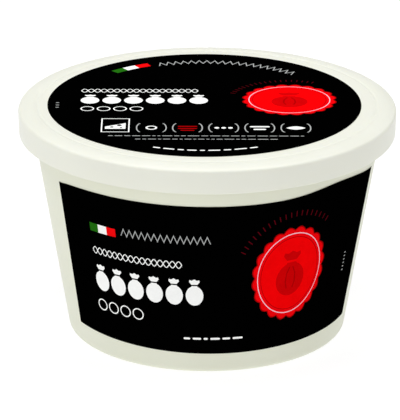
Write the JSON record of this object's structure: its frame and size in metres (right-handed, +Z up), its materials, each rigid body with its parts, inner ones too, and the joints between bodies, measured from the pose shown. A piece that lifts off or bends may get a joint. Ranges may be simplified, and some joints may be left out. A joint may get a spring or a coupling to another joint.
{
  "type": "lidded cheese tub",
  "caption": "Shut round tub of fresh cheese: a tapered ivory plastic tub under a press-on lid, with black printed labels on the lid and round the wall.",
  "frame": {"origin": "centre of the foot ring, on the surface that the tub stands on", "axes": "+Z up along the tub's axis; the front label faces -Y, with its middle a few degrees towards +X"},
  "size_m": [0.118, 0.118, 0.0732],
  "materials": {
    "tub_plastic": "satin",
    "lid_plastic": "satin",
    "label_print": "satin"
  },
  "bodies": {
    "root": {"tub": "tub_plastic", "lid": "lid_plastic", "front_label": "label_print", "back_label": "label_print", "lid_label": "label_print"}
  },
  "joints": []
}
